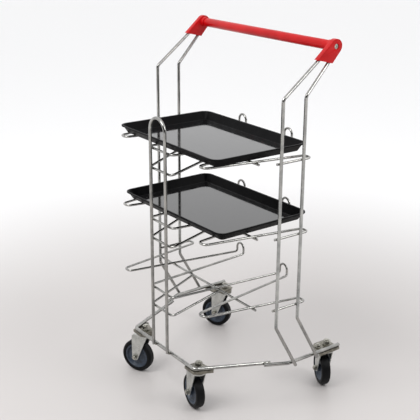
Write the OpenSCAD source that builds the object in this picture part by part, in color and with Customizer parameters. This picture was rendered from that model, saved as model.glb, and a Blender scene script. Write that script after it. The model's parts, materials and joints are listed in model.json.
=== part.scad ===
// Wire tray trolley on four swivel casters: a welded wire frame with three shelf
// levels, a push handle and two lift-out trays. Millimetres, +Z up, front towards -Y.
// The origin is on the floor, at the middle of the four caster kingpins.

/* [Base frame] */
// Height of the base bars' centre above the floor
base_z = 147; // [142:0.5:180]
// Diameter of the base bars
base_d = 10.5; // [9:0.5:12]
// Distance between the two front corners, bar centre to bar centre
base_front_w = 302; // [250:1:355]
// Distance between the two rear bars, centre to centre
base_rear_w = 544; // [460:1:655]
// Depth of the base, from the front bar's centre to the rear ends
base_depth = 419; // [400:1:500]
// Depth at which the side bars turn straight back, ahead of the front posts' feet
kink_y = 230.4; // [222:0.1:236]
// Length of the side arm along the front bar's own wire
side_arm = 212; // [170:1:230]
// Length over which the front wire and the rear bar lie side by side
lap_length = 20; // [12:1:40]
// Bend radius of the front corners, at the wire's centre
base_bend_r = 16; // [12:1:24]

/* [Front arch] */
// Height of the top of the arch's centre line above the floor
arch_top_z = 812; // [700:1:970]
// Distance between the arch's two legs, centre to centre
arch_w = 70; // [60:1:84]

/* [Handle posts] */
// Diameter of the four handle posts and of the front arch
post_d = 9; // [7.5:0.1:11]
// Depth of the front posts behind the front bar
post_front_y = 174; // [165:1:211]
// Distance between the front and the rear post on each side
post_pitch = 73.5; // [66:0.5:80]
// Height at which the front posts kick back towards the base
post_low_bend_z = 272; // [260:1:290]
// Extra height of the same bend on the rear posts
post_low_bend_step = 11; // [0:1:20]
// Slope of the legs below that bend, from vertical
leg_angle = 29.3; // [26:0.1:32]
// Height at which the posts bend back towards the handle
post_high_bend_z = 888; // [820:1:930]

/* [Shelves] */
// Height of the bottom shelf wire's centre
shelf_low_z = 322; // [316:1:360]
// Height from one shelf to the next
shelf_pitch = 201; // [175:1:240]
// Diameter of the shelf wires
shelf_d = 6.5; // [5.5:0.5:7]
// Half the distance between the outer wires at the front loops
outer_front_x = 200.5; // [190:0.5:206]
// Half the distance between the inner wires at the front loops
inner_front_x = 174; // [160:0.5:176]
// Depth of the rear stops behind the front bar
stop_y = 350; // [330:1:400]
// Height of the rear stops above the shelf
stop_h = 31.5; // [26:0.5:40]
// Half the distance to the outer leg of each rear stop
stop_outer_x = 117; // [110:0.5:130]
// Width of each rear stop
stop_w = 31; // [30.5:0.5:36]
// Half the width of the crosspiece that is welded to the arch
crosspiece_x = 56; // [50:0.5:60]
// Depth of the cross wire behind the front bar
cross_y = 142; // [120:1:160]
// How far the cross wire runs past the outer wires
cross_overhang = 9; // [5:0.5:20]
// Height from the shelf down to the brace's crosspiece
brace_drop = 55.5; // [45:0.5:65]
// Half the distance between the brace's ends
brace_end_x = 66; // [62:0.5:70]

/* [Trays] */
// Width of each tray over the rim
tray_w = 457; // [400:1:500]
// Depth of each tray over the rim
tray_depth = 305; // [270:1:318]
// Height of each tray
tray_h = 24; // [18:0.5:30]
// Wall and floor thickness of each tray
tray_wall = 2.5; // [2:0.1:4]
// How far the foot of the tray's wall lies inside its rim
tray_taper = 18; // [10:0.5:22]
// Corner radius of the rim
tray_corner_r = 27; // [24:1:40]
// Width of the flat lip round the rim
tray_lip = 4; // [3:0.5:6]

/* [Handle] */
// Height of the grip's axis above the floor
grip_z = 1003.5; // [970:0.5:1210]
// Depth of the grip's axis behind the front bar
grip_y = 336; // [325:1:350]
// Outer diameter of the grip tube
grip_d = 25; // [22:0.5:28]
// Diameter of the steel core inside the grip tube
core_d = 16; // [12:0.5:18]
// Thickness of the handle's two end pieces
end_t = 13; // [12:0.5:24]
// Radius of the round boss on each end piece
boss_r = 18.5; // [17:0.5:22]
// Diameter of the screw shanks
screw_d = 6; // [5:0.5:8]

/* [Casters] */
// Diameter of the wheels
wheel_d = 99; // [80:1:116]
// Width of the tyres
tyre_w = 26; // [22:0.5:28]
// Thickness of the tyre, from the wheel core out to the tread
tyre_t = 11.5; // [8:0.5:16]
// Distance from the kingpin back to the axle
trail = 30; // [28:0.5:38]
// Distance between the front and the rear kingpins
wheelbase = 373; // [350:1:400]
// Distance between the two front kingpins
front_track = 270; // [236:1:320]
// Distance between the two rear kingpins
rear_track = 486; // [430:1:580]
// Depth of the front kingpins behind the front bar
front_pin_y = 27; // [25:0.5:34]
// Direction in which each caster trails: front left, front right, rear right, rear left
trail_angles = [206, 170, 154, 208]; // [0:1:360]
// Diameter of the kingpins
kingpin_d = 12; // [10:0.1:14.5]
// Diameter of the axle bolts
axle_d = 8; // [6:0.5:9]
// Diameter of the swivel heads
head_d = 42; // [38:1:48]
// Thickness of the fork's sheet steel
fork_t = 3; // [2:0.1:3.5]
// Thickness of the bracket plates
plate_t = 3; // [2:0.1:4]
// Height of the turned-down lip on the bracket plates
lip_h = 8; // [5:0.5:9]

/* [Hidden] */
$fn = 32;

zinc = [0.72, 0.72, 0.7];
yellow_zinc = [0.66, 0.63, 0.5];
grip_red = [0.72, 0.07, 0.09];
tray_black = [0.04, 0.04, 0.045];
tyre_black = [0.05, 0.05, 0.055];
core_blue = [0.24, 0.29, 0.35];

weld_gap = 0.05;      // between wires that touch and are welded
seat_gap = 0.3;       // between a tray and the wires that it rests on
running_gap = 0.08;   // radial, round a shaft that turns
bore_gap = 0.05;      // radial, round a fixed bolt, core or post
face_gap = 0.3;       // along the axis, between faces that turn on each other
run_in = 0.4;         // how far a wire's straight runs reach into its bends
run_thinner = 0.02;   // how much less their radius is, so that they stay inside the bends

// Depths are measured back from the front bar, which lies here
front_y = -wheelbase / 2 - front_pin_y;

base_r = base_d / 2;
post_r = post_d / 2;
shelf_r = shelf_d / 2;
post_bend_r = 14;
small_bend_r = 7;
hairpin_bend_r = 12;
loop_bend_r = 14;

// Across the trolley: the posts stand outside the base bars, the shelf wires inside the posts
post_x = base_rear_w / 2 + base_r + post_r + weld_gap;
hairpin_x = post_x - post_r - shelf_r - weld_gap;
hairpin_w = 25.5;
hairpin_overshoot = 32.5;
post_overhang = 8;

arch_y = -base_r - post_r - weld_gap;
arch_foot = 0;
shelf_front_y = arch_y + post_r + shelf_r + weld_gap;

// The base bars' plan: the side arm lies inside the rear bar where they lap, so each side
// arm leans out by the angle at which the rear bar, beside it, meets the kink
front_corner = [base_front_w / 2, 0];
kink = [base_rear_w / 2, kink_y];
lap_offset = base_d + weld_gap;
to_kink = kink - front_corner;
side_angle = acos(lap_offset / norm(to_kink)) - atan2(to_kink.y, to_kink.x);
side_dir = [sin(side_angle), cos(side_angle)];
side_out = [cos(side_angle), -sin(side_angle)];
rear_bar_start = front_corner + side_dir * (side_arm - lap_length) + side_out * lap_offset;
side_arm_end = front_corner + side_dir * side_arm;

// Where each post stands, and where its leg passes the base bar
post_rear_y = post_front_y + post_pitch;
leg_tip_drop = 8;
leg_tip_z = base_z - leg_tip_drop;

// Where the outer wires meet their hairpins, and how far out they pass over the cross wire
hairpin_y = post_rear_y + hairpin_overshoot;
outer_slope = (hairpin_x - hairpin_w - outer_front_x) / (hairpin_y - shelf_front_y);
cross_half = outer_front_x + (cross_y - shelf_front_y) * outer_slope + cross_overhang;

// Shelf levels and what hangs under them
shelf_z = [for (i = [0:2]) shelf_low_z + i * shelf_pitch];
cross_drop = shelf_d + weld_gap;
brace_run = cross_y - shelf_front_y;
brace_lean = atan((brace_drop - cross_drop - shelf_d) / brace_run);
brace_under = cross_drop + (shelf_d + weld_gap) / cos(brace_lean);
brace_slope = (brace_drop - brace_under) / brace_run;
brace_past = 6;
brace_corner_x = crosspiece_x - 4;

// Trays rest on the shelf wires; each lies a little off centre, as it was put down
tray_seat = shelf_r + seat_gap;
tray_place = [[-7, 176, 1.4], [8, 153, 0]];

// Handle: the end pieces sit over the tops of the posts
end_in_x = post_x - end_t / 2;
end_out_x = post_x + end_t / 2;
end_foot_front = [-61.5, -28.5];
end_foot_rear = [-11.5, -41];
collar_r = grip_d / 2 + 2;
collar_len = 12;
tube_half = end_in_x - collar_len - weld_gap;
tube_bore_r = core_d / 2 + 0.5;
core_in_end = 5;
core_half = end_in_x + core_in_end;
screw_head_r = 7;
screw_head_h = 4;
screw_reach = 22;
screw_recess = 1.5;
front_entry = [-53.5, -31.5];
rear_entry = [-18.5, -38];
post_in_end = 16;

// Caster heights, from the bracket down to the floor
plate_top = base_z - base_r - weld_gap;
plate_bottom = plate_top - plate_t;
wheel_r = wheel_d / 2;
axle_z = wheel_r;
head_h = 13.5;
head_bottom = plate_bottom - head_h;
fork_top = head_bottom - 0.5;
fork_plate_t = fork_t + 0.5;
fork_plate_bottom = fork_top - fork_plate_t;
kingpin_r = kingpin_d / 2;
kingpin_head_r = 10;
kingpin_head_h = 6;
washer_t = 2;
washer_r = 12;
nut_af = 19;
nut_h = 10;
kingpin_stub = 3;
bolt_d = 8;
bolt_af = 13;
bolt_h = 6;
bolt_y_step = 34;

// Bearing between the swivel head and the fork
ball_d = 5;
ball_count = 14;
race_gap = 0.5;
race_r = kingpin_r + 6;
ball_ring_r = race_r + race_gap + ball_d / 2;
cavity_r = ball_ring_r + ball_d / 2 + race_gap;
cavity_h = 9.5;
race_h = cavity_h - 0.3;

// Fork and wheel across the axle
wheel_side_gap = 2.5;
fork_in = tyre_w / 2 + wheel_side_gap;
fork_out = fork_in + fork_t;
hub_half = fork_in - 0.5;
axle_r = axle_d / 2;
sleeve_r = axle_r + 2;
ear_r = 10.5;
leg_lead = 11.5;
fork_back = trail + ear_r;
axle_head_af = 13;
axle_head_h = 5.5;
axle_nut_h = 7;
axle_stub = 2;
core_r = wheel_r - tyre_t;
core_rim_w = tyre_w - 3;
core_rim_t = 6;
core_web_w = 9;
hub_r = 11;
tyre_edge_r = 7;

pins = [
    [-front_track / 2, -wheelbase / 2], [front_track / 2, -wheelbase / 2],
    [rear_track / 2, wheelbase / 2], [-rear_track / 2, wheelbase / 2]
];

// ---- helpers ----

function unit(v) = v / norm(v);
function heading(p, i) = unit(p[i + 1] - p[i]);
function turn_angle(p, i) = acos(max(-1, min(1, heading(p, i - 1) * heading(p, i))));
function is_corner(p, i) = i > 0 && i < len(p) - 1;
function setback(p, r, i) = is_corner(p, i) ? r[i] * tan(turn_angle(p, i) / 2) : 0;
function across(u) = unit(cross(u, abs(u.z) < 0.9 ? [0, 0, 1] : [1, 0, 0]));
function bend_axis(p, i) = unit(cross(heading(p, i - 1), heading(p, i)));
function run_side(p, i) = is_corner(p, i) ? bend_axis(p, i) : bend_axis(p, i + 1);
function basis(x, y, z, at) = [
    [x.x, y.x, z.x, at.x],
    [x.y, y.y, z.y, at.y],
    [x.z, y.z, z.z, at.z],
    [0, 0, 0, 1]
];
function mirrored(p) = [for (i = [len(p) - 1:-1:0]) [-p[i].x, p[i].y, p[i].z]];
function backwards(r) = [for (i = [len(r) - 1:-1:0]) r[i]];

// Point where the line from p touches a circle of radius r about c, on the left or the right of p
function tangent(p, c, r, side) =
    let (d = norm(c - p), a = atan2(c.y - p.y, c.x - p.x) + side * asin(r / d))
    p + sqrt(d * d - r * r) * [cos(a), sin(a)];

// Round rod from one point to another, with its own X axis along side
module rod(from, to, r, side) {
    u = unit(to - from);
    x = is_undef(side) ? across(u) : side;
    multmatrix(basis(x, cross(u, x), u, from)) cylinder(h = norm(to - from), r = r);
}

// Quarter, half or other part of a ring that joins two straight runs at corner i
module bend(p, r, i, wire_r) {
    u = heading(p, i - 1);
    v = heading(p, i);
    n = unit(v - (v * u) * u);
    centre = p[i] - u * setback(p, r, i) + n * r[i];
    multmatrix(basis(-n, u, cross(-n, u), centre))
        rotate_extrude(angle = turn_angle(p, i), $fn = 96)
            translate([r[i], 0])
                circle(r = wire_r);
}

// Bent wire along points p, with bend radius r[i] at each corner. Each straight run is
// a hair thinner than the bends and reaches a little way into them.
module wire(p, r, d) {
    for (i = [0:len(p) - 2]) {
        u = heading(p, i);
        from = p[i] + u * (setback(p, r, i) - (is_corner(p, i) ? run_in : 0));
        to = p[i + 1] - u * (setback(p, r, i + 1) - (is_corner(p, i + 1) ? run_in : 0));
        rod(from, to, d / 2 - run_thinner, run_side(p, i));
    }
    for (i = [1:len(p) - 2]) bend(p, r, i, d / 2);
}

module hexagon(af, h) {
    cylinder(h = h, r = af / 2 / cos(30), $fn = 6);
}

module at_depth() {
    translate([0, front_y, 0]) children();
}

module at_pin(i) {
    translate([pins[i].x, pins[i].y, 0]) children();
}

module at_caster(i) {
    at_pin(i) rotate([0, 0, trail_angles[i]]) children();
}

module at_axle() {
    translate([trail, 0, axle_z]) rotate([90, 0, 0]) children();
}

// ---- base frame ----

module base_front_wire() {
    arm = [side_arm_end.x, side_arm_end.y, base_z];
    corner = [front_corner.x, front_corner.y, base_z];
    half = [arm, corner];
    color(zinc) at_depth()
        wire(concat(half, mirrored(half)), [0, base_bend_r, base_bend_r, 0], base_d);
}

module base_bar() {
    p = [
        [rear_bar_start.x, rear_bar_start.y, base_z],
        [kink.x, kink.y, base_z],
        [kink.x, base_depth, base_z]
    ];
    color(zinc) at_depth() wire(p, [0, base_bend_r, 0], base_d);
}

module base_bar_left() {
    mirror([1, 0, 0]) base_bar();
}

module base_bar_right() {
    base_bar();
}

module front_arch() {
    half = [
        [arch_w / 2, arch_y, base_z - arch_foot],
        [arch_w / 2, arch_y, arch_top_z]
    ];
    top_r = arch_w / 2 - 0.1;
    color(zinc) at_depth() wire(concat(half, mirrored(half)), [0, top_r, top_r, 0], post_d);
}

// ---- handle posts ----

// One post at depth y: leg, upright, and the slope that ends inside the handle's end piece
module post(y, low_bend_z, entry) {
    leg_drop = low_bend_z - leg_tip_z;
    high_bend = [y, post_high_bend_z];
    mouth = [grip_y, grip_z] + entry;
    top = mouth + post_in_end * unit(mouth - high_bend);
    p = [
        [post_x, y + leg_drop * tan(leg_angle), leg_tip_z],
        [post_x, y, low_bend_z],
        [post_x, high_bend.x, high_bend.y],
        [post_x, top.x, top.y]
    ];
    color(zinc) at_depth() wire(p, [0, post_bend_r, post_bend_r, 0], post_d);
}

module post_front_right() {
    post(post_front_y, post_low_bend_z, front_entry);
}

module post_front_left() {
    mirror([1, 0, 0]) post_front_right();
}

module post_rear_right() {
    post(post_rear_y, post_low_bend_z + post_low_bend_step, rear_entry);
}

module post_rear_left() {
    mirror([1, 0, 0]) post_rear_right();
}

// ---- shelves ----

// One symmetric wire: side run on the posts, hairpin, outer wire, front loop, inner wire,
// rear stop, and the diagonal to the crosspiece behind the arch
module shelf_wire(level) {
    z = shelf_z[level];
    half = [
        [hairpin_x, post_front_y - post_overhang, z],
        [hairpin_x, hairpin_y, z],
        [hairpin_x - hairpin_w, hairpin_y, z],
        [outer_front_x, shelf_front_y, z],
        [inner_front_x, shelf_front_y, z],
        [stop_outer_x, stop_y, z],
        [stop_outer_x, stop_y, z + stop_h],
        [stop_outer_x - stop_w, stop_y, z + stop_h],
        [stop_outer_x - stop_w, stop_y, z],
        [crosspiece_x, shelf_front_y, z]
    ];
    stop_r = stop_w / 2 - 0.1;
    r = [
        0, hairpin_bend_r - 1, hairpin_bend_r - 1, loop_bend_r, loop_bend_r,
        small_bend_r, stop_r, stop_r, small_bend_r, hairpin_bend_r
    ];
    color(zinc) at_depth() wire(concat(half, mirrored(half)), concat(r, backwards(r)), shelf_d);
}

module shelf_wire_bottom() {
    shelf_wire(0);
}

module shelf_wire_middle() {
    shelf_wire(1);
}

module shelf_wire_top() {
    shelf_wire(2);
}

module cross_wire(level) {
    z = shelf_z[level] - cross_drop;
    color(zinc) at_depth() rod([-cross_half, cross_y, z], [cross_half, cross_y, z], shelf_r);
}

module cross_wire_bottom() {
    cross_wire(0);
}

module cross_wire_middle() {
    cross_wire(1);
}

module cross_wire_top() {
    cross_wire(2);
}

module brace_wire(level) {
    z = shelf_z[level];
    end_z = z - brace_under + brace_past * brace_slope;
    half = [
        [brace_end_x, cross_y + brace_past, end_z],
        [brace_corner_x, shelf_front_y, z - brace_drop]
    ];
    r = hairpin_bend_r;
    color(zinc) at_depth() wire(concat(half, mirrored(half)), [0, r, r, 0], shelf_d);
}

module brace_wire_bottom() {
    brace_wire(0);
}

module brace_wire_middle() {
    brace_wire(1);
}

module brace_wire_top() {
    brace_wire(2);
}

// ---- handle ----

module along_x(from, to, r) {
    translate([from, 0, 0]) rotate([0, 90, 0]) cylinder(h = to - from, r = r);
}

module at_grip() {
    translate([0, front_y + grip_y, grip_z]) children();
}

module grip_tube() {
    color(grip_red) at_grip() difference() {
        along_x(-tube_half, tube_half, grip_d / 2);
        along_x(-tube_half - 1, tube_half + 1, tube_bore_r);
    }
}

module grip_core() {
    hole_r = screw_d / 2 + bore_gap;
    hole_from = core_half - screw_reach - 1;
    color(zinc) at_grip() difference() {
        along_x(-core_half, core_half, core_d / 2);
        along_x(hole_from, core_half + 1, hole_r);
        along_x(-core_half - 1, -hole_from, hole_r);
    }
}

// Side outline of an end piece about the grip's axis: a boss with two straight flanks
module end_outline() {
    front = tangent(end_foot_front, [0, 0], boss_r, 1);
    rear = tangent(end_foot_rear, [0, 0], boss_r, -1);
    circle(r = boss_r);
    polygon([end_foot_front, end_foot_rear, rear, [0, 0], front]);
}

module post_socket(y, entry) {
    mouth = [y - grip_y, post_high_bend_z - grip_z];
    u = unit(entry - mouth);
    from = entry - 20 * u;
    to = entry + (post_in_end + weld_gap) * u;
    rod([post_x, from.x, from.y], [post_x, to.x, to.y], post_r + bore_gap);
}

module handle_end() {
    screw_floor = end_out_x - screw_head_h - screw_recess;
    color(grip_red) at_grip() difference() {
        union() {
            translate([end_in_x, 0, 0]) rotate([90, 0, 90]) linear_extrude(end_t) end_outline();
            along_x(end_in_x - collar_len, end_in_x, collar_r);
        }
        along_x(end_in_x - collar_len - 1, core_half + weld_gap, core_d / 2 + bore_gap);
        along_x(core_half, screw_floor + 1, screw_d / 2 + bore_gap);
        along_x(screw_floor, end_out_x + 1, screw_head_r + bore_gap);
        post_socket(post_front_y, front_entry);
        post_socket(post_rear_y, rear_entry);
    }
}

module handle_end_right() {
    handle_end();
}

module handle_end_left() {
    mirror([1, 0, 0]) handle_end();
}

module handle_screw() {
    head_from = end_out_x - screw_head_h - screw_recess;
    drive_depth = 2;
    at_grip() difference() {
        union() {
            along_x(core_half - screw_reach, head_from + 1, screw_d / 2);
            along_x(head_from, head_from + screw_head_h, screw_head_r);
        }
        translate([head_from + screw_head_h - drive_depth, 0, 0]) rotate([0, 90, 0])
            hexagon(4, drive_depth + 1);
    }
}

module handle_screws() {
    color(zinc) for (side = [0, 1]) mirror([side, 0, 0]) handle_screw();
}

// ---- trays ----

// Block with sloping sides and round corners, from half sizes at the foot and at the top
module sloped_block(foot, top, r_foot, r_top, h) {
    c = top - [r_top, r_top];
    for (x = [-1, 1], y = [-1, 1])
        translate([x * c.x, y * c.y, 0]) cylinder(h = h, r1 = r_foot, r2 = r_top);
    translate([-c.x, 0, 0]) rotate([90, 0, 90]) linear_extrude(2 * c.x)
        polygon([[-foot.y, 0], [foot.y, 0], [top.y, h], [-top.y, h]]);
    translate([0, c.y, 0]) rotate([90, 0, 0]) linear_extrude(2 * c.y)
        polygon([[-foot.x, 0], [foot.x, 0], [top.x, h], [-top.x, h]]);
}

module tray(level, place) {
    lip_t = 2;
    rim = [tray_w / 2, tray_depth / 2];
    top = rim - [tray_lip, tray_lip];
    r_top = tray_corner_r - tray_lip;
    foot = rim - [tray_taper, tray_taper];
    r_foot = tray_corner_r - tray_taper;
    slope = (tray_taper - tray_lip) / tray_h;
    thin = tray_wall * sqrt(1 + slope * slope);
    raise = tray_wall * slope;
    inner_foot = foot + [raise - thin, raise - thin];
    inner_top = top - [thin, thin];
    over = 1;
    grow = over * slope;
    color(tray_black)
        translate([place.x, front_y + place.y, shelf_z[level] + tray_seat]) rotate([0, 0, place.z])
            difference() {
                union() {
                    sloped_block(foot, top, r_foot, r_top, tray_h);
                    translate([0, 0, tray_h - lip_t])
                        sloped_block(rim, rim, tray_corner_r, tray_corner_r, lip_t);
                }
                translate([0, 0, tray_wall])
                    sloped_block(
                        inner_foot, inner_top + [grow, grow],
                        r_foot + raise - thin, r_top - thin + grow,
                        tray_h - tray_wall + over
                    );
            }
}

module tray_middle() {
    tray(1, tray_place[0]);
}

module tray_top() {
    tray(2, tray_place[1]);
}

// ---- caster brackets ----

// Plate under a corner of the base, with a lip turned down along its outer edges
module bracket_plate(outline, lips, holes) {
    difference() {
        union() {
            translate([0, 0, plate_bottom]) linear_extrude(plate_t) polygon(outline);
            for (lip = lips)
                translate([0, 0, plate_top - lip_h]) linear_extrude(lip_h) polygon(lip);
        }
        for (hole = holes)
            translate([hole.x, hole.y, plate_top - lip_h - 1])
                cylinder(h = lip_h + 2, r = hole.z + bore_gap);
    }
}

module bracket_front() {
    inner_x = front_track / 2 - 22;
    side_run = 53;
    outer = front_corner + base_r * [side_out.x + 0.02, side_out.y - 0.55];
    tip = front_corner + side_dir * side_run + side_out * base_r;
    back = tip - side_out * 14 + side_dir * 4;
    lip_in = -side_out * plate_t;
    outline = [
        [inner_x, -base_r], [front_corner.x, -base_r], outer, tip, back,
        [front_track / 2 + 10, front_pin_y + 18], [inner_x, front_pin_y + 15]
    ];
    front_lip = [
        [inner_x, -base_r], [front_corner.x, -base_r],
        [front_corner.x, -base_r + plate_t], [inner_x, -base_r + plate_t]
    ];
    side_lip = [
        [front_corner.x, -base_r], outer, tip,
        tip + lip_in, [front_corner.x, -base_r + plate_t]
    ];
    color(yellow_zinc) at_depth()
        bracket_plate(outline, [front_lip, side_lip], [[front_track / 2, front_pin_y, kingpin_r]]);
}

module bracket_front_left() {
    mirror([1, 0, 0]) bracket_front();
}

module bracket_front_right() {
    bracket_front();
}

module bracket_rear() {
    pin_y = front_pin_y + wheelbase;
    pin_x = rear_track / 2;
    out_x = base_rear_w / 2 + base_r;
    from_y = pin_y - 56;
    to_y = base_depth - 1;
    outline = [
        [out_x, from_y], [out_x, to_y], [pin_x - 16, to_y],
        [pin_x - 23, to_y - 12], [pin_x - 23, from_y + 28], [pin_x - 2, from_y]
    ];
    lip = [[out_x - plate_t, from_y], [out_x, from_y], [out_x, to_y], [out_x - plate_t, to_y]];
    holes = [[pin_x, pin_y, kingpin_r], [pin_x, pin_y - bolt_y_step, bolt_d / 2]];
    color(yellow_zinc) at_depth() bracket_plate(outline, [lip], holes);
}

module bracket_rear_left() {
    mirror([1, 0, 0]) bracket_rear();
}

module bracket_rear_right() {
    bracket_rear();
}

// ---- caster parts ----

module kingpin(i) {
    top = plate_top + washer_t + nut_h + kingpin_stub;
    head_from = fork_plate_bottom - face_gap - kingpin_head_h;
    color(zinc) at_pin(i) {
        translate([0, 0, head_from]) cylinder(h = kingpin_head_h, r = kingpin_head_r);
        translate([0, 0, head_from + 1]) cylinder(h = top - head_from - 1, r = kingpin_r);
    }
}

module nut_and_washer(seat, r, af, h, w_r, w_t) {
    translate([0, 0, seat]) difference() {
        union() {
            cylinder(h = w_t, r = w_r);
            translate([0, 0, w_t]) hexagon(af, h);
        }
        translate([0, 0, -1]) cylinder(h = h + w_t + 2, r = r + bore_gap);
    }
}

module kingpin_nuts() {
    color(zinc) for (i = [0:3]) at_pin(i)
        nut_and_washer(plate_top + weld_gap, kingpin_r, nut_af, nut_h, washer_r, washer_t);
}

module bracket_bolts() {
    r = bolt_d / 2;
    head_h = 5;
    washer = 1.5;
    color(zinc) for (side = [-1, 1])
        translate([side * rear_track / 2, wheelbase / 2 - bolt_y_step, 0]) {
            translate([0, 0, plate_bottom - weld_gap - head_h]) hexagon(bolt_af, head_h);
            translate([0, 0, plate_bottom - weld_gap - 1])
                cylinder(h = plate_t + washer + bolt_h + 4, r = r);
            nut_and_washer(plate_top + weld_gap, r, bolt_af, bolt_h, r + 4, washer);
        }
}

module swivel_head(i) {
    head_r = head_d / 2;
    edge = 4;
    color(yellow_zinc) at_pin(i) translate([0, 0, head_bottom]) difference() {
        union() {
            cylinder(h = head_h - edge, r = head_r);
            translate([0, 0, head_h - edge])
                cylinder(h = edge - weld_gap, r1 = head_r, r2 = head_r - edge);
        }
        translate([0, 0, -1]) cylinder(h = cavity_h + 1, r = cavity_r);
        translate([0, 0, -1]) cylinder(h = head_h + 2, r = kingpin_r + bore_gap);
    }
}

module bearing_balls(i) {
    color(zinc) at_caster(i) for (k = [0:ball_count - 1])
        rotate([0, 0, k * 360 / ball_count])
            translate([ball_ring_r, 0, fork_top + race_gap + ball_d / 2])
                sphere(d = ball_d, $fn = 24);
}

// Side outline of a fork leg, about the kingpin's axis: x towards the axle, y up
module leg_outline() {
    lead = [-leg_lead, fork_top - 1];
    axle = [trail, axle_z];
    translate(axle) circle(r = ear_r);
    polygon([
        lead, tangent(lead, axle, ear_r, -1), axle, [fork_back, axle_z],
        [fork_back, fork_top - 6], [fork_back - 6, fork_top - 1]
    ]);
}

module fork(i) {
    color(zinc) at_caster(i) difference() {
        union() {
            for (side = [-1, 1])
                translate([0, side * (fork_in + fork_t / 2) + fork_t / 2, 0])
                    rotate([90, 0, 0]) linear_extrude(fork_t) leg_outline();
            translate([0, 0, fork_plate_bottom]) linear_extrude(fork_plate_t) {
                circle(r = head_d / 2);
                translate([0, -fork_out]) square([fork_back - 6, 2 * fork_out]);
            }
            translate([0, 0, fork_plate_bottom]) cylinder(h = fork_plate_t + race_h, r = race_r);
        }
        translate([0, 0, fork_plate_bottom - 1])
            cylinder(h = fork_plate_t + race_h + 2, r = kingpin_r + running_gap);
        at_axle() translate([0, 0, -fork_out - 1])
            cylinder(h = 2 * fork_out + 2, r = axle_r + bore_gap);
    }
}

// Axle bolt, its nut and the sleeve that the wheel turns on
module axle(i) {
    sleeve_half = fork_in - weld_gap;
    seat = fork_out + weld_gap;
    color(zinc) at_caster(i) at_axle() {
        translate([0, 0, seat]) hexagon(axle_head_af, axle_head_h);
        translate([0, 0, -seat - axle_nut_h - axle_stub])
            cylinder(h = 2 * seat + axle_nut_h + axle_stub + 1, r = axle_r);
        translate([0, 0, -seat - axle_nut_h]) difference() {
            hexagon(axle_head_af, axle_nut_h);
            translate([0, 0, -1]) cylinder(h = axle_nut_h + 2, r = axle_r + bore_gap);
        }
        translate([0, 0, -sleeve_half]) difference() {
            cylinder(h = 2 * sleeve_half, r = sleeve_r);
            translate([0, 0, -1]) cylinder(h = 2 * sleeve_half + 2, r = axle_r + bore_gap);
        }
    }
}

module ring(h, outer, inner) {
    difference() {
        translate([0, 0, -h / 2]) cylinder(h = h, r = outer, $fn = 64);
        translate([0, 0, -h / 2 - 1]) cylinder(h = h + 2, r = inner, $fn = 64);
    }
}

module wheel_core(i) {
    color(core_blue) at_caster(i) at_axle() difference() {
        union() {
            ring(core_rim_w, core_r, core_r - core_rim_t);
            ring(core_web_w, core_r - 1, hub_r - 2);
            translate([0, 0, -hub_half]) cylinder(h = 2 * hub_half, r = hub_r);
        }
        translate([0, 0, -hub_half - 1]) cylinder(h = 2 * hub_half + 2, r = sleeve_r + running_gap);
    }
}

module tyre(i) {
    inner_r = core_r + weld_gap;
    side = tyre_w / 2 - tyre_edge_r;
    crown = wheel_r - tyre_edge_r;
    color(tyre_black) at_caster(i) at_axle() rotate_extrude($fn = 96) difference() {
        union() {
            translate([inner_r, -tyre_w / 2]) square([crown - inner_r, tyre_w]);
            translate([crown - 1, -side]) square([tyre_edge_r + 1, 2 * side]);
            for (z = [-side, side]) translate([crown, z]) circle(r = tyre_edge_r);
        }
        translate([0, -tyre_w]) square([inner_r, 2 * tyre_w]);
    }
}

base_front_wire();
base_bar_left();
base_bar_right();
front_arch();
post_front_left();
post_front_right();
post_rear_left();
post_rear_right();
shelf_wire_bottom();
shelf_wire_middle();
shelf_wire_top();
cross_wire_bottom();
cross_wire_middle();
cross_wire_top();
brace_wire_bottom();
brace_wire_middle();
brace_wire_top();
grip_tube();
grip_core();
handle_end_left();
handle_end_right();
handle_screws();
tray_middle();
tray_top();
bracket_front_left();
bracket_front_right();
bracket_rear_right();
bracket_rear_left();
kingpin(0);  // kingpin_front_left
kingpin(1);  // kingpin_front_right
kingpin(2);  // kingpin_rear_right
kingpin(3);  // kingpin_rear_left
kingpin_nuts();
bracket_bolts();
swivel_head(0);  // swivel_head_front_left
swivel_head(1);  // swivel_head_front_right
swivel_head(2);  // swivel_head_rear_right
swivel_head(3);  // swivel_head_rear_left
bearing_balls(0);  // bearing_balls_front_left
bearing_balls(1);  // bearing_balls_front_right
bearing_balls(2);  // bearing_balls_rear_right
bearing_balls(3);  // bearing_balls_rear_left
fork(0);  // fork_front_left
fork(1);  // fork_front_right
fork(2);  // fork_rear_right
fork(3);  // fork_rear_left
axle(0);  // axle_front_left
axle(1);  // axle_front_right
axle(2);  // axle_rear_right
axle(3);  // axle_rear_left
wheel_core(0);  // wheel_core_front_left
wheel_core(1);  // wheel_core_front_right
wheel_core(2);  // wheel_core_rear_right
wheel_core(3);  // wheel_core_rear_left
tyre(0);  // tyre_front_left
tyre(1);  // tyre_front_right
tyre(2);  // tyre_rear_right
tyre(3);  // tyre_rear_left
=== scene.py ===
import bpy
import json
import math
import random
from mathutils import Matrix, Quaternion, Vector


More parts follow.
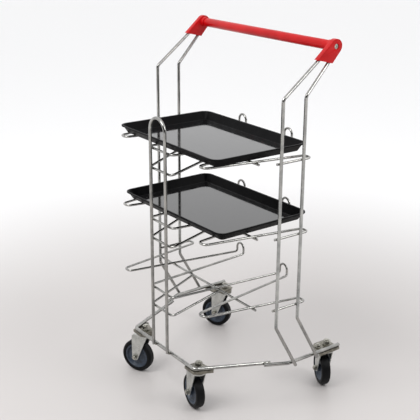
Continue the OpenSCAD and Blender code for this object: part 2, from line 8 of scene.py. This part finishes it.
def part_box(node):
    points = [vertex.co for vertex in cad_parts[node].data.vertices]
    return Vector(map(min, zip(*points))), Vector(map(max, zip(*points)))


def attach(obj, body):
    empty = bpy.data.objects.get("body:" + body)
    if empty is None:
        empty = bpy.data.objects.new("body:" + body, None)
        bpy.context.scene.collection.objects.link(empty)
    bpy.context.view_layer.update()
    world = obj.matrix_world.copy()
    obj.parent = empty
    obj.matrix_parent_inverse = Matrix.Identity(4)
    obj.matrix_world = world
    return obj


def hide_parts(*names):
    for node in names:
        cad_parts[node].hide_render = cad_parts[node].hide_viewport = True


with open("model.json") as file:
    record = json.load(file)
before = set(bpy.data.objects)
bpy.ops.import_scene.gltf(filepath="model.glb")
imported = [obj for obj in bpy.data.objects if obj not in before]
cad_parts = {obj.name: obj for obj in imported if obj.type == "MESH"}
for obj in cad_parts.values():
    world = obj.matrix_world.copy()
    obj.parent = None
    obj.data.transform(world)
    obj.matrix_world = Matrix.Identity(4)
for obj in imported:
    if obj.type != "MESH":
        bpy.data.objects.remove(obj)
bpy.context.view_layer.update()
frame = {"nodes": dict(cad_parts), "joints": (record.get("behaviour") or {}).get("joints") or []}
cadNodes = frame["nodes"]
joints = {joint["name"]: joint for joint in frame["joints"]}
mm = 0.001
mergeGap = 0.002 * mm
corners = ["front_left", "front_right", "rear_right", "rear_left"]
levels = ["bottom", "middle", "top"]
bpy.ops.object.select_all(action="DESELECT")


# Camera

cameraSetup = {
    "target": (0.0, -0.0533, 0.5275),
    "distance": 2.4768,
    "azimuth": 54.04,
    "elevation": 19.31,
    "roll": 0.3,
    "lens": 76.1,
}


def directionFrom(azimuth, elevation):
    a, e = math.radians(azimuth), math.radians(elevation)
    return Vector((math.sin(a) * math.cos(e), -math.cos(a) * math.cos(e), math.sin(e)))


def makeCamera():
    back = directionFrom(cameraSetup["azimuth"], cameraSetup["elevation"])
    data = bpy.data.cameras.new("trolleyCamera")
    data.lens = cameraSetup["lens"]
    camera = bpy.data.objects.new("trolleyCamera", data)
    bpy.context.scene.collection.objects.link(camera)
    camera.location = Vector(cameraSetup["target"]) + back * cameraSetup["distance"]
    roll = Quaternion((0, 0, 1), math.radians(cameraSetup["roll"]))
    camera.rotation_mode = "QUATERNION"
    camera.rotation_quaternion = (-back).to_track_quat("-Z", "Y") @ roll
    bpy.context.scene.camera = camera


makeCamera()
print("camera placed")


# Helpers

def linear(hexColour):
    channels = [int(hexColour[i:i + 2], 16) / 255 for i in (1, 3, 5)]
    return [c / 12.92 if c <= 0.04045 else ((c + 0.055) / 1.055) ** 2.4 for c in channels] + [1.0]


def addNode(tree, kind, settings=None, values=None, links=None):
    node = tree.nodes.new(kind)
    for name, value in (settings or {}).items():
        setattr(node, name, value)
    for name, value in (values or {}).items():
        node.inputs[name].default_value = value
    for name, socket in (links or {}).items():
        tree.links.new(socket, node.inputs[name])
    return node


def activate(obj):
    bpy.ops.object.select_all(action="DESELECT")
    obj.select_set(True)
    bpy.context.view_layer.objects.active = obj


def applyModifiers(obj):
    activate(obj)
    for modifier in list(obj.modifiers):
        bpy.ops.object.modifier_apply(modifier=modifier.name)


def applyPlace(obj):
    activate(obj)
    bpy.ops.object.transform_apply(location=True, rotation=True, scale=True)


def giveMaterial(obj, material):
    obj.data.materials.clear()
    obj.data.materials.append(material)


def roundEdges(obj, width, segments=2, angle=35):
    bevel = obj.modifiers.new("edges", "BEVEL")
    bevel.width = width * mm
    bevel.segments = segments
    bevel.limit_method = "ANGLE"
    bevel.angle_limit = math.radians(angle)


def smoothByAngle(obj, angle=35):
    activate(obj)
    bpy.ops.object.shade_smooth_by_angle(angle=math.radians(angle))


def standFor(obj, name, body, slot, material, *replaced):
    obj.name = name
    obj.data.name = name
    giveMaterial(obj, material)
    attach(obj, body)
    if replaced:
        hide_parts(*replaced)
    return obj


def tidyCopy(node):
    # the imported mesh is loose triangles, so its doubles are merged and its flat faces joined
    source = cadNodes[node]
    copy = bpy.data.objects.new(node + "_copy", source.data.copy())
    bpy.context.scene.collection.objects.link(copy)
    activate(copy)
    bpy.ops.object.mode_set(mode="EDIT")
    bpy.ops.mesh.select_all(action="SELECT")
    bpy.ops.mesh.remove_doubles(threshold=mergeGap)
    bpy.ops.mesh.dissolve_limited(angle_limit=math.radians(0.4))
    bpy.ops.object.mode_set(mode="OBJECT")
    return copy


def copyOf(obj):
    copy = obj.copy()
    copy.data = obj.data.copy()
    bpy.context.scene.collection.objects.link(copy)
    return copy


def joined(objects):
    bpy.ops.object.select_all(action="DESELECT")
    for obj in objects:
        obj.select_set(True)
    bpy.context.view_layer.objects.active = objects[0]
    if len(objects) > 1:
        bpy.ops.object.join()
    return bpy.context.view_layer.objects.active


def turned(name, profile, segments):
    # profile is a closed list of (radius, height) in mm, turned about Z ring after ring
    bpy.ops.object.select_all(action="DESELECT")
    radius, height = profile[0]
    bpy.ops.mesh.primitive_circle_add(
        vertices=segments, radius=radius * mm, fill_type="NOTHING", location=(0, 0, 0)
    )
    obj = bpy.context.active_object
    obj.name = name
    bpy.ops.object.mode_set(mode="EDIT")
    bpy.ops.mesh.select_all(action="SELECT")
    bpy.ops.transform.translate(value=(0, 0, height * mm))
    for nextRadius, nextHeight in profile[1:] + [profile[0]]:
        bpy.ops.mesh.extrude_region_move(
            TRANSFORM_OT_translate={"value": (0, 0, (nextHeight - height) * mm)}
        )
        scale = nextRadius / radius
        if abs(scale - 1) > 1e-6:
            bpy.ops.transform.resize(value=(scale, scale, 1), center_override=(0, 0, 0))
        radius, height = nextRadius, nextHeight
    bpy.ops.mesh.select_all(action="SELECT")
    bpy.ops.mesh.remove_doubles(threshold=mergeGap)
    bpy.ops.mesh.normals_make_consistent(inside=False)
    bpy.ops.object.mode_set(mode="OBJECT")
    return obj


def laidAlong(obj, place, axis):
    # turns a piece made about Z so that Z runs along axis, and puts it at place
    obj.rotation_mode = "QUATERNION"
    obj.rotation_quaternion = Vector(axis).to_track_quat("Z", "Y")
    obj.location = place
    applyPlace(obj)
    return obj


def arcPoints(centreRadius, centreHeight, radius, start, end, steps):
    turns = [math.radians(start + (end - start) * i / steps) for i in range(steps + 1)]
    return [(centreRadius + radius * math.cos(t), centreHeight + radius * math.sin(t)) for t in turns]


# Finishes

def makeFinish(name, look):
    # two shades mottled over the piece, uneven gloss and a fine grain in relief
    material = bpy.data.materials.new(name)
    material.use_nodes = True
    tree = material.node_tree
    tree.nodes.clear()
    place = addNode(tree, "ShaderNodeTexCoord").outputs["Object"]
    mottle = addNode(
        tree, "ShaderNodeTexNoise",
        values={"Scale": 1 / (look["mottle"] * mm), "Detail": 4.0, "Roughness": 0.6},
        links={"Vector": place},
    )
    shade = addNode(
        tree, "ShaderNodeMapRange", values={"From Min": 0.35, "From Max": 0.65},
        links={"Value": mottle.outputs["Fac"]},
    )
    colour = addNode(
        tree, "ShaderNodeMix", settings={"data_type": "RGBA"},
        links={"Factor": shade.outputs["Result"]},
    )
    colour.inputs["A"].default_value = linear(look["dark"])
    colour.inputs["B"].default_value = linear(look["light"])
    smear = addNode(
        tree, "ShaderNodeTexNoise",
        values={"Scale": 1 / (look["smear"] * mm), "Detail": 3.0},
        links={"Vector": place},
    )
    gloss = addNode(
        tree, "ShaderNodeMapRange",
        values={
            "From Min": 0.3, "From Max": 0.7,
            "To Min": look["roughness"][0], "To Max": look["roughness"][1],
        },
        links={"Value": smear.outputs["Fac"]},
    )
    grain = addNode(
        tree, "ShaderNodeTexNoise",
        values={"Scale": 1 / (look["grain"] * mm), "Detail": 2.0},
        links={"Vector": place},
    )
    relief = addNode(
        tree, "ShaderNodeBump",
        values={"Strength": look["relief"], "Distance": look["depth"] * mm},
        links={"Height": grain.outputs["Fac"]},
    )
    shader = addNode(
        tree, "ShaderNodeBsdfPrincipled",
        values={"Metallic": look.get("metallic", 0.0), **look.get("shader", {})},
        links={
            "Base Color": colour.outputs["Result"], "Roughness": gloss.outputs["Result"],
            "Normal": relief.outputs["Normal"],
        },
    )
    addNode(tree, "ShaderNodeOutputMaterial", links={"Surface": shader.outputs["BSDF"]})
    return material


finishes = {
    # drawn steel wire, bright zinc plated: pale, shiny, a little cloudy
    "brightZinc": {
        "dark": "#8c8c8a", "light": "#aeada9", "mottle": 30, "smear": 14, "grain": 0.9,
        "roughness": (0.13, 0.22), "relief": 0.1, "depth": 0.04, "metallic": 1.0,
    },
    # pressed steel with yellowish zinc passivation
    "yellowZinc": {
        "dark": "#66635a", "light": "#8f8c82", "mottle": 14, "smear": 6, "grain": 0.7,
        "roughness": (0.24, 0.42), "relief": 0.25, "depth": 0.06, "metallic": 1.0,
    },
    # pressed steel fork, clear zinc: greyer and softer than the wire
    "forkZinc": {
        "dark": "#b2b4b0", "light": "#cccdc9", "mottle": 18, "smear": 8, "grain": 0.7,
        "roughness": (0.26, 0.42), "relief": 0.25, "depth": 0.05, "metallic": 1.0,
    },
    # turned and rolled fasteners
    "fastenerZinc": {
        "dark": "#8f8e88", "light": "#c4c2b8", "mottle": 5, "smear": 3, "grain": 0.5,
        "roughness": (0.22, 0.38), "relief": 0.3, "depth": 0.04, "metallic": 1.0,
    },
    # weld metal under the plating: duller and rougher than the wire
    "weldMetal": {
        "dark": "#77756e", "light": "#aaa89f", "mottle": 2.5, "smear": 1.5, "grain": 0.8,
        "roughness": (0.35, 0.6), "relief": 0.5, "depth": 0.2, "metallic": 1.0,
    },
    # moulded ABS in signal red, a fine satin skin; the IOR is below ABS's 1.5 so the red stays deep
    "redAbs": {
        "dark": "#b00409", "light": "#c4080e", "mottle": 60, "smear": 20, "grain": 0.8,
        "roughness": (0.28, 0.40), "relief": 0.3, "depth": 0.06, "shader": {"IOR": 1.33},
    },
    # pressed black tray with a glossy enamel that mirrors the room
    "blackEnamel": {
        "dark": "#08080a", "light": "#0f0f11", "mottle": 45, "smear": 35, "grain": 6.0,
        "roughness": (0.05, 0.13), "relief": 0.12, "depth": 0.05,
        "shader": {"IOR": 1.4, "Coat Weight": 0.5, "Coat Roughness": 0.04},
    },
    # the same tray enamel on its drawn walls, with painted shade: rougher and a shade darker than the
    # floor, and an IOR well below enamel's 1.5, so the walls stay black instead of mirroring the room
    "paintedShadeEnamel": {
        "dark": "#060607", "light": "#0b0b0d", "mottle": 30, "smear": 18, "grain": 1.2,
        "roughness": (0.34, 0.48), "relief": 0.12, "depth": 0.04, "shader": {"IOR": 1.16},
    },
    # moulded rubber tread, matt, with an IOR below rubber's 1.5 to stay near black
    "tyreRubber": {
        "dark": "#060708", "light": "#0e0f11", "mottle": 12, "smear": 6, "grain": 0.6,
        "roughness": (0.42, 0.58), "relief": 0.3, "depth": 0.1, "shader": {"IOR": 1.26},
    },
    # moulded polypropylene wheel centre in blue grey
    "corePlastic": {
        "dark": "#2f3744", "light": "#414d5c", "mottle": 16, "smear": 8, "grain": 0.7,
        "roughness": (0.36, 0.5), "relief": 0.3, "depth": 0.08, "shader": {"IOR": 1.49},
    },
}
skins = {name: makeFinish(name, look) for name, look in finishes.items()}
print("finishes made")


# Floor and light

studio = {
    "floorNear": "#c6c2c0", "floorFar": "#fdfdfd", "fadeFrom": 0.6, "fadeTo": 2.3, "floorSize": 60,
    "bright": "#fbfbfc", "dim": "#4a4a4c", "skyStrength": 1.12,
    "dimFrom": -0.15, "dimTo": 0.55, "ceilingFrom": 0.45, "ceilingTo": 0.8,
    "key": {"place": (0.2, -1.9, 2.6), "size": 1.3, "power": 40},
    "fill": {"place": (2.2, 0.9, 2.2), "size": 1.0, "power": 20},
}


def makeFloor():
    bpy.ops.mesh.primitive_plane_add(size=studio["floorSize"], location=(0, 0, -0.2 * mm))
    floor = bpy.context.active_object
    floor.name = "studioFloor"
    material = bpy.data.materials.new("paleFloor")
    material.use_nodes = True
    tree = material.node_tree
    tree.nodes.clear()
    place = addNode(tree, "ShaderNodeTexCoord").outputs["Object"]
    distance = addNode(
        tree, "ShaderNodeVectorMath", settings={"operation": "LENGTH"}, links={"Vector": place}
    )
    fade = addNode(
        tree, "ShaderNodeMapRange", settings={"interpolation_type": "SMOOTHSTEP"},
        values={"From Min": studio["fadeFrom"], "From Max": studio["fadeTo"]},
        links={"Value": distance.outputs["Value"]},
    )
    colour = addNode(
        tree, "ShaderNodeMix", settings={"data_type": "RGBA"},
        links={"Factor": fade.outputs["Result"]},
    )
    colour.inputs["A"].default_value = linear(studio["floorNear"])
    colour.inputs["B"].default_value = linear(studio["floorFar"])
    shader = addNode(
        tree, "ShaderNodeBsdfPrincipled", values={"Roughness": 0.42},
        links={"Base Color": colour.outputs["Result"]},
    )
    addNode(tree, "ShaderNodeOutputMaterial", links={"Surface": shader.outputs["BSDF"]})
    giveMaterial(floor, material)


def makeSky():
    # a white room: bright far walls and ceiling, and a dim side behind the camera
    world = bpy.data.worlds.new("softRoom")
    bpy.context.scene.world = world
    world.use_nodes = True
    tree = world.node_tree
    tree.nodes.clear()
    direction = addNode(tree, "ShaderNodeTexCoord").outputs["Generated"]
    nearSide = addNode(
        tree, "ShaderNodeVectorMath", settings={"operation": "DOT_PRODUCT"},
        links={"Vector": direction},
    )
    nearSide.inputs[1].default_value = directionFrom(cameraSetup["azimuth"], 0)
    dim = addNode(
        tree, "ShaderNodeMapRange", settings={"interpolation_type": "SMOOTHSTEP"},
        values={"From Min": studio["dimFrom"], "From Max": studio["dimTo"]},
        links={"Value": nearSide.outputs["Value"]},
    )
    height = addNode(tree, "ShaderNodeSeparateXYZ", links={"Vector": direction})
    ceiling = addNode(
        tree, "ShaderNodeMapRange", settings={"interpolation_type": "SMOOTHSTEP"},
        values={
            "From Min": studio["ceilingFrom"], "From Max": studio["ceilingTo"],
            "To Min": 1.0, "To Max": 0.0,
        },
        links={"Value": height.outputs["Z"]},
    )
    shade = addNode(tree, "ShaderNodeMath", settings={"operation": "MULTIPLY"})
    tree.links.new(dim.outputs["Result"], shade.inputs[0])
    tree.links.new(ceiling.outputs["Result"], shade.inputs[1])
    colour = addNode(
        tree, "ShaderNodeMix", settings={"data_type": "RGBA"},
        links={"Factor": shade.outputs["Value"]},
    )
    colour.inputs["A"].default_value = linear(studio["bright"])
    colour.inputs["B"].default_value = linear(studio["dim"])
    background = addNode(
        tree, "ShaderNodeBackground", values={"Strength": studio["skyStrength"]},
        links={"Color": colour.outputs["Result"]},
    )
    addNode(tree, "ShaderNodeOutputWorld", links={"Surface": background.outputs["Background"]})


def makeLamp(name, lamp, aim=(0, 0, 0.5)):
    data = bpy.data.lights.new(name, "AREA")
    data.energy = lamp["power"]
    data.size = lamp["size"]
    light = bpy.data.objects.new(name, data)
    bpy.context.scene.collection.objects.link(light)
    light.location = lamp["place"]
    aimed = Vector(aim) - Vector(lamp["place"])
    light.rotation_mode = "QUATERNION"
    light.rotation_quaternion = aimed.to_track_quat("-Z", "Y")


makeFloor()
makeSky()
makeLamp("keyLamp", studio["key"])
makeLamp("fillLamp", studio["fill"])
bpy.context.scene.view_settings.view_transform = "Standard"
print("studio ready")


# Wire frame

wireNodes = [
    "base_front_wire", "base_bar_left", "base_bar_right", "front_arch",
    "post_front_left", "post_front_right", "post_rear_left", "post_rear_right",
] + [kind + "_wire_" + level for kind in ("shelf", "cross", "brace") for level in levels]

for node in wireNodes:
    wire = tidyCopy(node)
    roundEdges(wire, 0.5, 2, 60)
    applyModifiers(wire)
    smoothByAngle(wire)
    standFor(wire, node + "_plated", "frame", "zinc_wire", skins["brightZinc"], node)
print("wire frame plated")


# Weld beads

# sizes in mm; cross and lap places are half distances from the middle
weld = {
    "width": 4.2, "long": 7.5, "seed": 11, "rough": 0.16,
    "legEdge": 3.2, "legSink": 0.8, "postSink": 4.5, "shelfRadius": 3.25, "shelfEdge": 1.6,
    "crossReaches": (225, 150.7, 68.5), "braceReach": 65.6,
    "lapStart": (238.1, 176.5), "lapRun": (8.6, 18), "lapEdge": 3.4,
}


def tipOf(node):
    # centre of a post's lower end
    low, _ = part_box(node)
    tip = [v.co for v in cadNodes[node].data.vertices if v.co.z < low.z + 3 * mm]
    return sum(tip, Vector()) / len(tip)


def bead(place, along, length, width, draws):
    bpy.ops.object.select_all(action="DESELECT")
    bpy.ops.mesh.primitive_uv_sphere_add(segments=14, ring_count=8, radius=0.5, location=(0, 0, 0))
    obj = bpy.context.active_object
    for vertex in obj.data.vertices:
        vertex.co *= 1 + weld["rough"] * (draws.random() - 0.5)
    obj.scale = (width * mm, width * mm, length * mm)
    applyPlace(obj)
    return laidAlong(obj, place, along)


def makeWelds():
    draws = random.Random(weld["seed"])
    beads = []

    def add(place, along, length=weld["long"], width=weld["width"]):
        beads.append(bead(place, along, length, width, draws))

    archLow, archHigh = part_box("front_arch")
    barLow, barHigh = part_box("base_front_wire")
    barZ = (barLow.z + barHigh.z) / 2
    legX = (archHigh.x - archLow.x) / 2 - (archHigh.y - archLow.y) / 2
    for side in (-1, 1):
        for edge in (-1, 1):
            legEdgeX = side * legX + edge * weld["legEdge"] * mm
            add((legEdgeX, archHigh.y - weld["legSink"] * mm, barZ), (0, 0, 1))
        for row in ("front", "rear"):
            node = "post_" + row + ("_left" if side < 0 else "_right")
            tip = tipOf(node)
            low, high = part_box(node)
            inner = high.x if side < 0 else low.x
            uprightY = low.y + (high.x - low.x) / 2
            add((inner, tip.y - weld["postSink"] * mm, barZ), (0, 0.5, -0.87), 9)
            for level in levels:
                shelfLow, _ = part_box("shelf_wire_" + level)
                shelfZ = shelfLow.z + weld["shelfRadius"] * mm
                for edge in (1, -1):
                    beadZ = shelfZ + edge * weld["shelfEdge"] * mm
                    add((inner, uprightY, beadZ), (0, 1, 0), 6, 3.6)
        for level in levels:
            shelfLow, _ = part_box("shelf_wire_" + level)
            braceLow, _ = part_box("brace_wire_" + level)
            crossLow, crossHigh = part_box("cross_wire_" + level)
            crossY = (crossLow.y + crossHigh.y) / 2
            for wireLow in (shelfLow, braceLow):
                wireZ = wireLow.z + weld["shelfRadius"] * mm
                add((side * legX, archHigh.y, wireZ), (1, 0, 0), 6.5, 4)
            for reach in weld["crossReaches"]:
                add((side * reach * mm, crossY, crossHigh.z), (0.6, 0.8, 0), 5.5, 3.4)
            add((side * weld["braceReach"] * mm, crossY, crossLow.z), (1, 0, 0), 5.5, 3.4)
        for run in (0.2, 0.8):
            lapX, lapY = (a + b * run for a, b in zip(weld["lapStart"], weld["lapRun"]))
            for edge in (1, -1):
                place = (side * lapX * mm, barLow.y + lapY * mm, barZ + edge * weld["lapEdge"] * mm)
                add(place, (side * 0.43, 0.9, 0), 8, 4.4)
    obj = joined(beads)
    smoothByAngle(obj, 60)
    standFor(obj, "weldBeads", "frame", "zinc_wire", skins["weldMetal"])


makeWelds()
print("joints welded")


# Handle

grip = {"wall": 4.0, "endRound": 1.2, "rings": 96}


def makeGrip():
    low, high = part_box("grip_tube")
    outer = (high.z - low.z) / 2 / mm
    half = (high.x - low.x) / 2 / mm
    soft = grip["endRound"]
    inner = outer - grip["wall"]
    profile = arcPoints(outer - soft, -half + soft, soft, -90, 0, 4)
    profile += arcPoints(outer - soft, half - soft, soft, 0, 90, 4)
    profile += [(inner, half), (inner, -half)]
    tube = turned("gripTube", profile, grip["rings"])
    laidAlong(tube, (0, (low.y + high.y) / 2, (low.z + high.z) / 2), (1, 0, 0))
    smoothByAngle(tube, 40)
    standFor(tube, "gripTube", "frame", "red_handle", skins["redAbs"], "grip_tube")


makeGrip()
for side in ("left", "right"):
    cap = tidyCopy("handle_end_" + side)
    roundEdges(cap, 1.6, 4, 30)
    applyModifiers(cap)
    smoothByAngle(cap, 40)
    standFor(cap, "handleEnd_" + side, "frame", "red_handle", skins["redAbs"], "handle_end_" + side)
screws = tidyCopy("handle_screws")
roundEdges(screws, 0.5, 2)
applyModifiers(screws)
smoothByAngle(screws)
standFor(screws, "handleScrews", "frame", "fastener_steel", skins["fastenerZinc"], "handle_screws")
giveMaterial(cadNodes["grip_core"], skins["fastenerZinc"])
print("handle fitted")


# Trays

tray = {
    "cornerRadius": 27, "lip": 4.2, "lipRound": 2.7, "sheet": 2.4, "footInset": 19.4,
    "floorRound": 5.0, "turnDown": 3.6, "cornerSteps": 10, "bendSteps": 4, "lastInset": 1.5,
    "yaw": {"tray_top": 0.0, "tray_middle": 1.4},
}


def makeTray(node, size, body):
    low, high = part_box(node)
    width, depth = size
    height = (high.z - low.z) / mm
    wallDrop = height - tray["sheet"] - tray["floorRound"] * 0.55
    bpy.ops.object.select_all(action="DESELECT")
    bpy.ops.mesh.primitive_plane_add(size=1, location=(0, 0, 0))
    obj = bpy.context.active_object
    obj.scale = (width, depth, 1)
    applyPlace(obj)
    bpy.ops.object.mode_set(mode="EDIT")
    bpy.ops.mesh.select_all(action="SELECT")
    bpy.ops.mesh.bevel(
        affect="VERTICES", offset=tray["cornerRadius"] * mm, segments=tray["cornerSteps"]
    )
    bpy.ops.mesh.select_all(action="SELECT")
    bpy.ops.mesh.inset(thickness=tray["lip"] * mm, depth=0)
    # round the lip down into the wall, then the wall into the floor
    lean = math.degrees(math.atan2(wallDrop, tray["footInset"] - tray["lip"] - tray["lipRound"]))
    steps = tray["bendSteps"]
    for k in range(steps):
        a, b = (math.radians(lean * (k + i) / steps) for i in (0, 1))
        run = tray["lipRound"] * (math.sin(b) - math.sin(a))
        drop = tray["lipRound"] * (math.cos(a) - math.cos(b))
        bpy.ops.mesh.inset(thickness=run * mm, depth=-drop * mm)
    lipDrop = tray["lipRound"] * (1 - math.cos(math.radians(lean)))
    lipRun = tray["lipRound"] * math.sin(math.radians(lean))
    floorDrop = tray["floorRound"] * (1 - math.cos(math.radians(lean)))
    floorRun = tray["floorRound"] * math.sin(math.radians(lean))
    fullDrop = height - tray["sheet"]
    wallRun = (fullDrop - lipDrop - floorDrop) / math.tan(math.radians(lean))
    bpy.ops.mesh.inset(thickness=wallRun * mm, depth=-(fullDrop - lipDrop - floorDrop) * mm)
    for k in range(steps):
        a, b = (math.radians(lean * (1 - (k + i) / steps)) for i in (0, 1))
        run = tray["floorRound"] * (math.sin(a) - math.sin(b))
        drop = tray["floorRound"] * (math.cos(b) - math.cos(a))
        bpy.ops.mesh.inset(thickness=run * mm, depth=-drop * mm)
    bpy.ops.mesh.inset(thickness=tray["lastInset"] * mm, depth=0)
    bpy.ops.mesh.poke()
    bpy.ops.mesh.select_all(action="SELECT")
    bpy.ops.mesh.region_to_loop()
    bpy.ops.mesh.extrude_region_move(
        TRANSFORM_OT_translate={"value": (0, 0, -tray["turnDown"] * mm)}
    )
    bpy.ops.object.mode_set(mode="OBJECT")
    sheet = obj.modifiers.new("sheet", "SOLIDIFY")
    sheet.thickness = tray["sheet"] * mm
    sheet.offset = -1
    roundEdges(obj, 0.9, 3, 50)
    applyModifiers(obj)
    obj.rotation_euler = (0, 0, math.radians(tray["yaw"][node]))
    obj.location = ((low.x + high.x) / 2, (low.y + high.y) / 2, high.z)
    applyPlace(obj)
    smoothByAngle(obj, 30)
    standFor(obj, node + "_enamelled", body, "tray_black", skins["blackEnamel"], node)
    # the walls' copy of the enamel, darker and less reflective: painted shade
    obj.data.materials.append(skins["paintedShadeEnamel"])
    for face in obj.data.polygons:
        # the flat floor gets the glossy enamel; everything else on the tray gets the enamel with
        # painted shade
        isFloor = face.normal.z > 0.97 and face.center.z < low.z + 6 * mm
        face.material_index = 0 if isFloor else 1


trayLow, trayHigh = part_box("tray_top")
traySize = (trayHigh.x - trayLow.x, trayHigh.y - trayLow.y)
for node in ("tray_middle", "tray_top"):
    makeTray(node, traySize, node)
print("trays laid in")


# Casters

caster = {
    "tyreRound": 7.0, "rimStep": 1.5, "tyreBead": 0.5, "hubRound": 1.0, "rimRound": 1.2,
    "webHalf": 4.5, "rimWall": 6.0, "hubRadius": 11.0, "hubHalf": 15.0, "boreRadius": 6.08,
    "rings": 96,
}


def wheelSizes():
    # read off the front right wheel, whose axle is nearly along Y
    coreCo = [v.co for v in cadNodes["wheel_core_front_right"].data.vertices]
    tyreCo = [v.co for v in cadNodes["tyre_front_right"].data.vertices]
    axle = joints["roll_front_right"]
    centre, axis = Vector(axle["pos_m"]), Vector(axle["axis"]).normalized()

    def spread(points):
        offsets = [p - centre for p in points]
        heights = [abs(o.dot(axis)) for o in offsets]
        radii = [(o - axis * o.dot(axis)).length for o in offsets]
        return max(radii) / mm, max(heights) / mm

    return spread(tyreCo), spread(coreCo)


def makeTyre(radius, half, coreRadius):
    soft, lip = caster["tyreRound"], caster["tyreBead"]
    crown = radius - soft
    inner = coreRadius + 0.05
    middle = inner + 1.9
    profile = [
        (inner, -half + 0.6), (inner + 0.6, -half), (middle - lip, -half),
        (middle, -half + lip), (middle + lip, -half),
    ]
    profile += arcPoints(crown, -half + soft, soft, -90, 0, 8)
    profile += [(radius, -2.2), (radius, 2.2)]
    profile += arcPoints(crown, half - soft, soft, 0, 90, 8)
    profile += [
        (middle + lip, half), (middle, half - lip), (middle - lip, half),
        (inner + 0.6, half), (inner, half - 0.6),
    ]
    return turned("tyre", profile, caster["rings"])


def makeCore(radius, tyreHalf):
    rimHalf = tyreHalf - caster["rimStep"]
    soft, web, hub = caster["rimRound"], caster["webHalf"], caster["hubRadius"]
    rimIn = radius - caster["rimWall"]
    side = [
        (radius, rimHalf - soft), (radius - soft, rimHalf), (rimIn + soft, rimHalf),
        (rimIn, rimHalf - soft), (rimIn - 0.8, web + 3.2), (rimIn - 2.4, web + 1.2),
        (rimIn - 4.2, web), (24.0, web), (23.2, web - 0.8), (17.0, web - 0.8), (15.6, web),
        (hub + 1.6, web + 0.6), (hub, web + 2.2), (hub, caster["hubHalf"] - soft),
        (hub - soft, caster["hubHalf"]), (caster["boreRadius"], caster["hubHalf"]),
    ]
    profile = side + [(r, -h) for r, h in reversed(side)]
    return turned("wheelCore", profile, caster["rings"])


(tyreRadius, tyreHalf), (coreRadius, _) = wheelSizes()
tyreModel = makeTyre(tyreRadius, tyreHalf, coreRadius)
coreModel = makeCore(coreRadius, tyreHalf)
for corner in corners:
    axle = joints["roll_" + corner]
    wheelBody = "wheel_" + corner
    tyre = laidAlong(copyOf(tyreModel), axle["pos_m"], axle["axis"])
    smoothByAngle(tyre, 50)
    standFor(tyre, "tyreTread_" + corner, wheelBody, "tyre", skins["tyreRubber"], "tyre_" + corner)
    core = laidAlong(copyOf(coreModel), axle["pos_m"], axle["axis"])
    smoothByAngle(core, 38)
    standFor(
        core, "wheelCentre_" + corner, wheelBody, "wheel_core", skins["corePlastic"],
        "wheel_core_" + corner,
    )
for model in (tyreModel, coreModel):
    bpy.data.objects.remove(model)
print("wheels turned")

# kind of part: finish, slot, edge rounding in mm, whether it turns with the fork
metalParts = {
    "fork": ("forkZinc", "fork_zinc", 0.8, True),
    "axle": ("fastenerZinc", "fastener_steel", 0.5, True),
    "bracket": ("yellowZinc", "bracket_zinc", 0.7, False),
    "kingpin": ("fastenerZinc", "fastener_steel", 0.6, False),
    "swivel_head": ("yellowZinc", "bracket_zinc", 1.0, False),
}
for corner in corners:
    for kind, (skin, slot, edge, turns) in metalParts.items():
        node = kind + "_" + corner
        part = tidyCopy(node)
        roundEdges(part, edge, 3, 40)
        applyModifiers(part)
        smoothByAngle(part, 40)
        body = "fork_" + corner if turns else "frame"
        standFor(part, node + "_finished", body, slot, skins[skin], node)
    giveMaterial(cadNodes["bearing_balls_" + corner], skins["fastenerZinc"])
for node in ("kingpin_nuts", "bracket_bolts"):
    part = tidyCopy(node)
    roundEdges(part, 0.6, 3, 40)
    applyModifiers(part)
    smoothByAngle(part, 40)
    standFor(part, node + "_finished", "frame", "fastener_steel", skins["fastenerZinc"], node)
print("casters bolted on")


# Last step: nothing left selected

bpy.ops.object.select_all(action="DESELECT")
